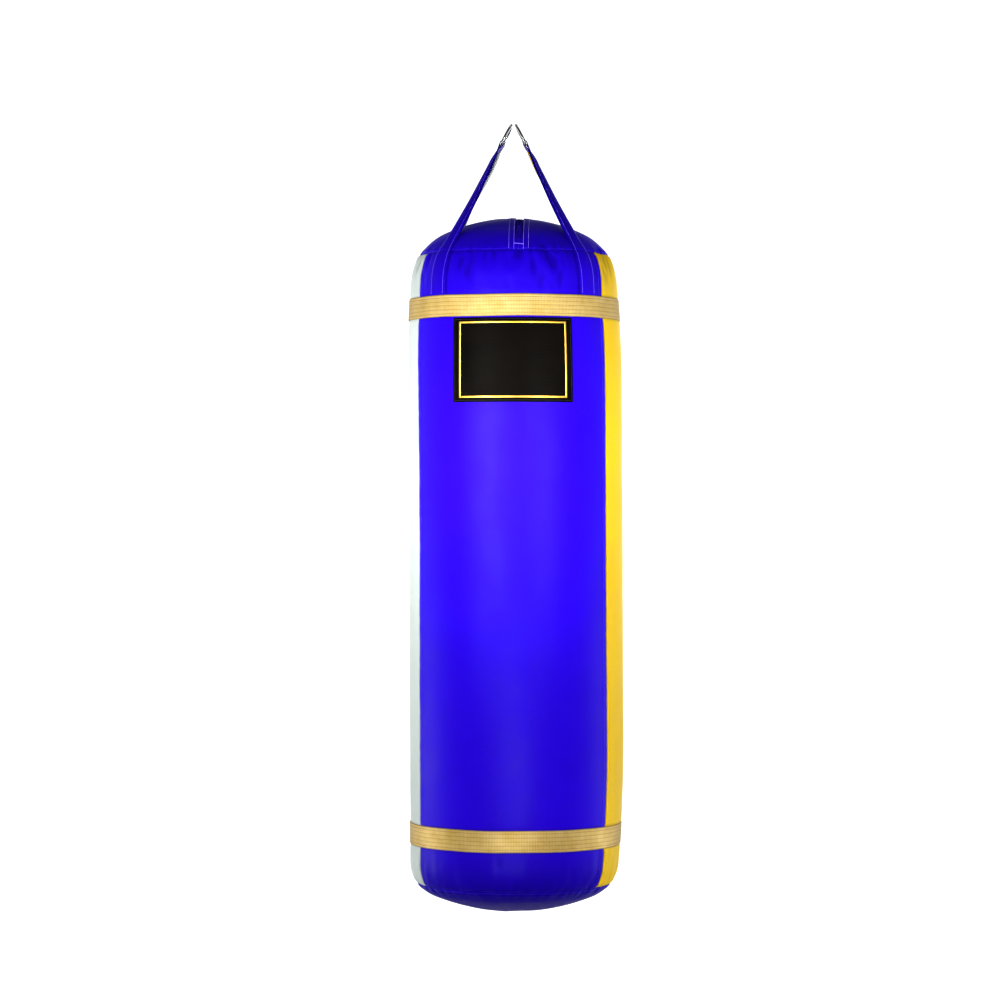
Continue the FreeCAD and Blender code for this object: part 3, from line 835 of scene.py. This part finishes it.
def band(name, node, low, high, straps):
    """Ribbed ribbon round the bag, with its ends lapped at the back."""
    thickness, sink = 1.3 * MM, 0.25 * MM
    columns = 900
    top, base = s_at_z(high), s_at_z(low)
    az = full_turn(columns)[None, :]
    s = spread(top, (top + 3 * MM, 0.5 * MM), (base - 3 * MM, 0.5 * MM), (base, 0.5 * MM))[:, None]
    across = (s - top) / (base - top)
    wave = 0.35 * MM * wander(az, 0 * s, 31, 26, 1) * (0.4 + 0.6 * np.abs(2 * across - 1))
    drift = 0.5 * MM * wander(az, 0 * s, 32, 9, 1)
    lines = np.max([bump(across, k, 0.016) for k in rib_lines], axis=0)
    ribs = -0.28 * MM * lines + 0.1 * MM * np.cos(across * TURN * 12)
    edge = np.minimum(s - top, base - s)
    round_off = 0.75 * MM * (1 - smooth(edge, 0, 1.6 * MM))
    lap = 0.9 * MM * smooth(np.cos(az - math.radians(186)), 0.990, 0.9903)
    lift = lay_gap + sink + wave + (over_straps(az, body_radius) if straps else 0)
    outer_lift = lift + thickness - sink + ribs - round_off + lap
    outer, _ = band_skin(az, s + drift, outer_lift)
    inner, _ = band_skin(az, s + drift, lift - sink)
    obj = shell(name, outer, inner, closed=True)
    # painted shade: darker along the band's edges and in its rib lines
    edge_and_rib_shade = np.maximum(0.7 - 0.7 * smooth(edge, 0, 2.2 * MM), 0.45 * lines)
    store_painted_shade(obj, np.tile(np.broadcast_to(edge_and_rib_shade, outer.shape[:2]).ravel(), 2))
    finish_piece(obj, gold, "band_gold", node)
    inset = 2.6 * MM
    ring = np.linspace(0, TURN, columns + 1)
    middle_row = outer_lift[len(s) // 2]
    lifted = np.interp(ring, np.r_[az[0], TURN], np.r_[middle_row, middle_row[:1]]) - 0.1 * MM
    rows = [band_skin(ring, np.full(columns + 1, top + down), lifted) for down in (inset, base - top - inset)]
    sew(node + "_stitches", rows, gold_thread, 3.4 * MM)


band("band_upper", "upper_band", *upper_band, True)
band("band_lower", "lower_band", *lower_band, False)


label_thickness = 1.0 * MM


def rectangle(a, top, base, count, endpoint=True):
    """The four sides of a rectangle on the cover, as (az, s) points."""
    corners = [(-a, top), (a, top), (a, base), (-a, base), (-a, top)]
    return [np.linspace(p, q, count, endpoint) for p, q in zip(corners, corners[1:])]


def label():
    half = math.asin(min(1.0, label_high.x / (body_radius + 1.3 * MM)))
    top, base = s_at_z(label_high.z), s_at_z(label_low.z)
    border, fine, coarse = (width / body_radius for width in (2 * MM, 0.5 * MM, 1.5 * MM))
    az = spread(-half, (-half + border, fine), (half - border, coarse), (half, fine))[None, :]
    s = spread(top, (top + 2 * MM, 0.5 * MM), (base - 2 * MM, 1.5 * MM), (base, 0.5 * MM))[:, None]
    inset = 3.2 * MM
    edge = np.minimum((half - np.abs(az)) * body_radius, np.minimum(s - top, base - s))
    rounding = 0.45 * MM * (1 - smooth(edge, 0, 1.2 * MM))
    sewn = 0.25 * MM * bump(edge, inset, 0.8 * MM)
    obj = shell("label", skin(az, s, lay_gap + label_thickness - rounding - sewn), skin(az, s, lay_gap))
    finish_piece(obj, black, "label_black", "label_patch")
    sides = rectangle(half - inset / body_radius, top + inset, base - inset, 160)
    lines = [skin_line(*side.T, lay_gap + 0.85 * MM) for side in sides]
    sew("label_stitches", lines, dark_thread, 3.2 * MM)
    frame_line(half, top, base)


def frame_line(half, top, base):
    """Gold line printed round the label, with mitred corners."""
    width = 3.3 * MM
    side_in, top_in, low_in = 11.5 * MM, 6.5 * MM, 7.5 * MM

    def loop(inset):
        return np.concatenate(rectangle(half - (side_in + inset) / body_radius, top + top_in + inset,
                                        base - low_in - inset, 90, False))

    az, s = np.moveaxis([loop(inset) for inset in (0, 0.35 * MM, width / 2, width - 0.35 * MM, width)], 2, 0)
    rise = np.array([0.02, 0.16, 0.2, 0.16, 0.02]) * MM
    outer = skin(az, s, lay_gap + label_thickness + rise[:, None])
    inner = skin(az, s, lay_gap + 0.9 * MM)
    finish_piece(shell("label_frame", outer, inner, closed=True), frame_gold, "label_black")


label()


# --------- straps
stitch_share = 0.71             # stitch lines, as a share of the strap's half width


class Strap:
    """One hanger strap: sewn down on the cover, free to the ring, round its bar and back down."""
    sewn_half, loop_radius = 19.6 * MM, 3.6 * MM
    sewn_thick, leg_thick = 1.1 * MM, 0.77 * MM      # half thicknesses

    def __init__(self, place, material, slot, line):
        self.az = strap_azimuths[place]
        self.front = abs(self.az) < math.pi / 2
        side = "right" if self.az > 0 else "left"
        side_x, side_y = (1 if self.az > 0 else -1), (-1 if self.front else 1)
        fold, bar = joint_at(side + "_hanger_fold"), joint_at(side + "_ring_swing")
        self.foot = np.array([fold[0], side_y * abs(fold[0]), fold[2]])
        self.head = np.array([bar[0], side_y * 11.05 * MM, bar[2]])
        self.length = float(np.linalg.norm(self.head - self.foot))
        self.run = unit(self.head - self.foot)
        self.s_leave = s_at_r(math.hypot(*self.foot[:2]))
        self.flat = unit([-side_x, side_y, 0])
        self.square = np.array([0.0, side_y, 0.0])
        self.out = np.array([side_x, 0, 0.5])
        self.turn = float(np.sign(np.dot(self.flat, [math.cos(self.az), math.sin(self.az), 0])))
        if self.front:
            # half widths near the cover and at the ring, how far the edges droop, and the painted shade on the
            # free leg and along the edges
            self.leg_half, self.ring_half, self.droop = 14.4 * MM, 10.8 * MM, 3.0 * MM
            self.leg_dull, self.edge_shade = 0.3, 0.75
        else:
            self.leg_half, self.ring_half, self.droop = 9.8 * MM, 9.6 * MM, 0.8 * MM
            self.leg_dull, self.edge_shade = 0, 0.2
            self.lean = 6.0 * MM if side_x < 0 else 3.5 * MM
        self.build(place, material, line)

    def stations(self):
        """Rows of centre, across, normal, half width, half thickness and edge drop, up and back down."""
        free, near_ring = self.length, self.length - 24 * MM
        sewn = self.s_leave - s_at_z(strap_end_z)
        up = spread(sewn, (-40 * MM, 2.5 * MM), (30 * MM, 1.2 * MM), (near_ring, 2.5 * MM), (free, 1.0 * MM))
        down = spread(free, (near_ring, 1.0 * MM), (18 * MM, 3 * MM))
        loop = [self.on_loop(angle) for angle in np.linspace(0, math.pi, 19)[1:-1]]
        rows = [self.on_leg(q, 1) for q in up] + loop + [self.on_leg(q, -1) for q in down]
        first = np.r_[np.ones(len(up)), np.zeros(len(loop) + len(down))]
        return np.r_[up, np.full(len(loop), free), down], first, [np.array(column) for column in zip(*rows)]

    def frame_at(self, q):
        """Directions across the strap and out of it: flat on the cover, square to the bar at the ring."""
        share = float(np.clip(q / self.length, 0, 1))
        if self.front:
            share = 0.7 * share + 0.3 * float(smooth(q, self.length - 34 * MM, self.length - 8 * MM))
        else:
            share = share ** 0.6
        across = unit(self.flat * (1 - share) + self.square * share)
        normal = unit(np.cross(self.run, across))
        if np.dot(normal, self.out) < 0:
            normal = -normal
        return unit(across - self.run * np.dot(across, self.run)), normal

    def on_leg(self, q, layer):
        """layer is 1 for the strap going up and -1 for its end coming back down inside."""
        across, normal = self.frame_at(q)
        ring = self.length
        half_gap = 0.8 * MM
        gap = half_gap + (self.loop_radius - half_gap) * smooth(q, ring - 17 * MM, ring)
        settle = half_gap * (1 - smooth(q, 0, 30 * MM))
        high = smooth(q, 90 * MM, ring - 32 * MM) * (1 - smooth(q, ring - 24 * MM, ring - 4 * MM))
        low = smooth(q, 10 * MM, 55 * MM) * (1 - smooth(q, 90 * MM, ring - 40 * MM))
        bow = 1.8 * MM * high - 0.6 * MM * low if self.front else self.lean * low - 1.8 * MM * high
        centre = self.foot + self.run * q + normal * (layer * gap - settle + bow)
        width = self.sewn_half + (self.leg_half - self.sewn_half) * smooth(q, -34 * MM, 22 * MM)
        width += (self.ring_half - self.leg_half) * smooth(q, 30 * MM, ring - 20 * MM)
        if layer < 0:
            width -= 0.7 * MM
        thick = self.sewn_thick - (self.sewn_thick - self.leg_thick) * smooth(q, -5 * MM, 25 * MM)
        drop = self.droop * smooth(q, -12 * MM, 25 * MM) * (1 - smooth(q, ring - 60 * MM, ring - 12 * MM))
        return centre, across, layer * normal, width, thick, layer * drop

    def on_loop(self, angle):
        """Round the ring's bar, over the top."""
        across, normal = self.frame_at(self.length)
        over = unit(np.cross(across, normal))
        over = over * (1.0 if np.dot(over, self.run) > 0 else -1.0)
        radial = normal * math.cos(angle) + over * math.sin(angle)
        return self.head + radial * self.loop_radius, across, radial, self.ring_half, self.leg_thick, 0.0

    def surface(self, rows, q, first, p, lift):
        """Points across the strap at shares p, on its outer (lift 1) or inner (lift -1) side."""
        centre, across, normal, width, thick, drop = rows
        p = np.asarray(p)
        edge = np.sqrt(np.clip(1 - np.abs(p) ** 10, 0, 1)) * 0.85 + 0.15
        gutter = 0.28 * MM * bump(np.abs(p), stitch_share, 0.05)[None] * (lift > 0)
        rise = thick[:, None] * lift * edge[None] - drop[:, None] * np.abs(p)[None] ** 2.6 - gutter
        aside = width[:, None] * p[None]
        leg = centre[:, None] + across[:, None] * aside[..., None] + normal[:, None] * rise[..., None]
        s = np.maximum(self.s_leave - q, 60 * MM)
        az = self.az + self.turn * aside / r_at(s)[:, None]
        height = lay_gap + thick[:, None] * (1 + lift * edge[None]) - gutter
        # the strap's edges press into the cover and its middle stands a little proud
        height = height + 0.5 * MM * (1 - np.abs(p)[None] ** 2) * smooth(q, -80 * MM, -20 * MM)[:, None]
        laid = skin(az, np.broadcast_to(s[:, None], az.shape), height)
        free = (np.where(first > 0, smooth(q, -9 * MM, 9 * MM), 1))[:, None, None]
        return laid * (1 - free) + leg * free

    def build(self, place, material, line):
        q, first, rows = self.stations()
        edge, middle = np.linspace(0.88, 1, 4)[1:], np.linspace(-0.88, 0.88, 21)
        p = np.r_[-edge[::-1], middle, edge]
        outer, inner = (self.surface(rows, q, first, p, lift) for lift in (1.0, -1.0))
        obj = shell("strap_" + place, outer, inner)
        # painted shade: darker on the free legs and along the strap's edges
        on_leg = self.leg_dull * smooth(q, -20 * MM, 30 * MM)[:, None]
        dull = np.maximum(on_leg, self.edge_shade * smooth(np.abs(p), 0.86, 1)[None, :])
        store_painted_shade(obj, np.tile(dull.ravel(), 2))
        self.join(obj, material)
        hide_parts("strap_anchor_" + place, "strap_leg_" + place)
        seen = first > 0
        picked = [column[seen] for column in rows]
        paths = []
        for at in (-stitch_share, stitch_share):
            run = self.surface(picked, q[seen], first[seen], [at - 0.02, at, at + 0.02], 1.0)
            along = np.gradient(run[:, 1], axis=0)
            normal = unit(np.cross(along, run[:, 2] - run[:, 0]))
            normal *= np.sign((normal * picked[2]).sum(-1, keepdims=True))
            start = np.argmax(run[:, 1, 2] > upper_band[1] + 1 * MM)
            paths.append((run[start:-6, 1], normal[start:-6]))
        self.join(stitches("strap_stitches_" + place, paths, 3.4 * MM), line)

    def join(self, obj, material):
        """Give the mesh its material and bake its placement into the points."""
        obj.data.materials.append(material)
        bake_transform(obj)


Strap("front_left", blue, "cover_blue", violet_thread)
Strap("front_right", blue, "cover_blue", violet_thread)
Strap("back_left", white, "cover_white", white_thread)
Strap("back_right", yellow, "cover_yellow", gold_thread)


# --------- sewing on the cover
def cap_line(x, y):
    return skin_line(*plan_to_skin(x, y))


placket, tacks = [], []
for off in placket_lines:
    for sign in (-1, 1):
        x = zip_x + sign * off
        reach = math.sqrt(r_at(s_top_seam - 1.5 * MM) ** 2 - x * x)
        placket.append(cap_line(x, np.linspace(-reach, reach, 240)))
for end in (-1, 1):
    x = np.linspace(zip_x - placket_lines[0], zip_x + placket_lines[0], 12)
    tacks.append(cap_line(x, end * bar_tack_y))
sew("placket_stitches", placket, bright_thread, 3.3 * MM, thick=0.95 * MM)
sew("bar_tacks", tacks, bright_thread, 2.0 * MM, length=2.4 * MM, thick=1.5 * MM)

ring = np.linspace(0, TURN, 1200)
seam_pitch = 3.6 * MM
sew("cap_seam_stitches", [skin_line(ring, s_top_seam - 2.4 * MM)], blue_thread, seam_pitch, thick=0.5 * MM)
sew("base_seam_stitches", [skin_line(ring, s_bottom_seam + 3.2 * MM)], blue_thread, seam_pitch, thick=0.6 * MM)

seam_rows = np.linspace(s_top_seam + 3 * MM, s_bottom_seam - 3 * MM, 600)
inside = 10 * MM / body_radius
left_seam, right_seam, back_seam = seam_azimuths
for name, az, material in (("left", left_seam + inside, blue_thread),
                           ("right", right_seam - inside, blue_thread),
                           ("back", back_seam + inside, white_thread)):
    sew("seam_stitches_" + name, [skin_line(az, seam_rows)], material, seam_pitch, thick=0.55 * MM)


# --------- zip
def zip_teeth(name, side, replaced):
    """A row of teeth; the two rows are half a pitch apart."""
    pitch, depth, aside = 3.0 * MM, 2.0 * MM, 2.0 * MM
    low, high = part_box(replaced)
    y = np.arange(low.y + pitch / 2, high.y - pitch / 2, pitch) + (pitch / 2 if side > 0 else 0)
    centre, normal = plain_skin(*plan_to_skin(zip_x + side * aside, y), -depth)
    along = np.tile([float(side), 0.0, 0.0], (len(y), 1))
    along = unit(along - normal * (along * normal).sum(-1, keepdims=True))
    obj = pills(name, centre, along, normal, 3.1 * MM, 1.5 * MM, 2.4 * MM)
    finish_piece(obj, teeth_blue, "zip_teeth", replaced)


zip_teeth("zip_teeth_left", -1, "zip_chain_left")
zip_teeth("zip_teeth_right", 1, "zip_chain_right")


def tape(name, side, replaced):
    """Zip tape: woven strip with a raised cord beside the teeth; beyond them it closes the slot."""
    low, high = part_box(replaced)
    inner_edge, depth, thickness = 3.75 * MM, 1.8 * MM, 0.8 * MM
    y = spread(low.y, (high.y, 2.0 * MM))[:, None]
    off = spread(inner_edge, (6.5 * MM, 0.4 * MM), (17 * MM, 1.5 * MM))[None, :]
    shut = smooth(np.abs(y), 124.5 * MM, 129 * MM)
    near = off - 3.7 * MM * shut * (1 - smooth(off, inner_edge, 9 * MM))
    az, s = plan_to_skin(zip_x + side * near, y)
    cord = 0.35 * MM * bump(off, 4.8 * MM, 0.8 * MM) + 0.5 * MM * shut
    outer, _ = plain_skin(az, s, cord - depth)
    inner, _ = plain_skin(az, s, -depth - thickness)
    finish_piece(shell(name, outer, inner), tape_cloth, "zip_tape", replaced)


tape("tape_left", -1, "zip_tape_left")
tape("tape_right", 1, "zip_tape_right")

# --------- finishes of the CAD parts that stay
for material, names in ((chrome, ("left_ring", "right_ring")), (zip_metal, ("zip_slider", "zip_pull")),
                        (teeth_blue, ("zip_stop_front", "zip_stop_back")),
                        (foam, ("top_foam_pad", "bottom_foam_pad")), (shreds, ("filling",))):
    for name in names:
        node = frame["nodes"][name]
        node.data.materials.clear()
        node.data.materials.append(material)


# --------- stage, light and camera
def floor():
    """Pale round floor well below the hanging bag."""
    columns = 96
    radius = np.array([0.0, 0.8, 1.6, 2.12, 2.2])
    height = np.array([0.0, 0.0, 0.0, 0.0, -0.03]) - 1.9
    turn = full_turn(columns)
    grid = np.stack([radius[:, None] * np.cos(turn), radius[:, None] * np.sin(turn),
                     height[:, None] + 0 * turn], -1)
    obj = mesh_object("floor", grid.reshape(-1, 3), grid_quads(numbered(len(radius), columns)), True)
    m = Maker("floor_paint", 0.85, specular=0.15)
    m.colour(m.mix(m.noise(2.0), rgb("efefee"), rgb("f8f8f7")))
    m.bumps((m.noise(40.0, 4.0), 1 * MM, 0.2))
    obj.data.materials.append(m.material)


floor()


def area(name, place, aim, size, power, spread_angle=180):
    """A light that only light bounces see; spread_angle in degrees."""
    light = bpy.data.lights.new(name, "AREA")
    light.spread = math.radians(spread_angle)
    light.shape = "RECTANGLE"
    light.size, light.size_y = size
    light.energy = power
    obj = add_object(name, light)
    obj.location = place
    obj.rotation_euler = (Vector(aim) - Vector(place)).to_track_quat("-Z", "Y").to_euler()
    obj.visible_camera = False


area("key", (-0.1, -2.5, -0.62), (0, 0, -0.56), (2.4, 0.4), 0.9, 26)
area("key_left", (-1.25, -2.25, -0.62), (-0.03, 0, -0.55), (1.3, 0.4), 2.9, 25)
area("key_right", (1.25, -2.25, -0.62), (0.03, 0, -0.55), (1.3, 0.4), 1.85, 25)
area("low_front", (-0.1, -2.4, -1.15), (0, 0, -1.12), (3.4, 0.3), 2.1, 26)
area("low_glow", (0, -2.5, -1.43), (0, 0, -1.2), (1.4, 0.12), 0.55, 20)
area("strip_left", (-1.8, 0.3, -1.35), (0, 0, -1.25), (0.5, 0.9), 6.6)
area("strip_right", (1.8, 0.3, -1.35), (0, 0, -1.25), (0.5, 0.9), 6.0)
area("back_soft", (0.5, 2.6, -0.2), (0, 0, -0.7), (1.6, 1.6), 6)
area("floor_light", (0, 1.8, 2.0), (0, 1.6, -1.9), (2.0, 2.0), 6, 60)


def studio_world():
    """White all round at the height of the bag, dimmer overhead and below."""
    world = bpy.data.worlds.new("studio")
    nodes = Nodes(world, "Background", "Generated")
    parts = nodes.add("ShaderNodeSeparateXYZ", Vector=nodes.place).outputs
    ramp = nodes.add("ShaderNodeValToRGB", Fac=nodes.span(parts[2], -1, 1))
    stops = [(0.0, 0.5), (0.28, 0.5), (0.39, 1.0), (0.61, 1.0), (0.70, 0.25), (1.0, 0.1)]
    ramp.color_ramp.interpolation = "EASE"
    for number, (position, value) in enumerate(stops):
        stop = ramp.color_ramp.elements[number] if number < 2 else ramp.color_ramp.elements.new(position)
        stop.position = position
        stop.color = (value, value, value, 1)
    nodes.feed(nodes.shader.inputs, (ramp.outputs[0], nodes.span(parts[1], -0.9, 0.5, 0.14, 1)))
    bpy.context.scene.world = world


studio_world()
bpy.context.scene.view_settings.view_transform = "Standard"
bpy.context.scene.view_settings.look = "High Contrast"

camera_data = bpy.data.cameras.new("camera")
camera_data.lens = 116.1
camera_data.sensor_width = 36.0
camera = add_object("camera", camera_data)
camera.location = (0.1257, -5.6987, -0.660)
camera.rotation_euler = (math.pi / 2, 0, math.radians(1.5))
bpy.context.scene.camera = camera
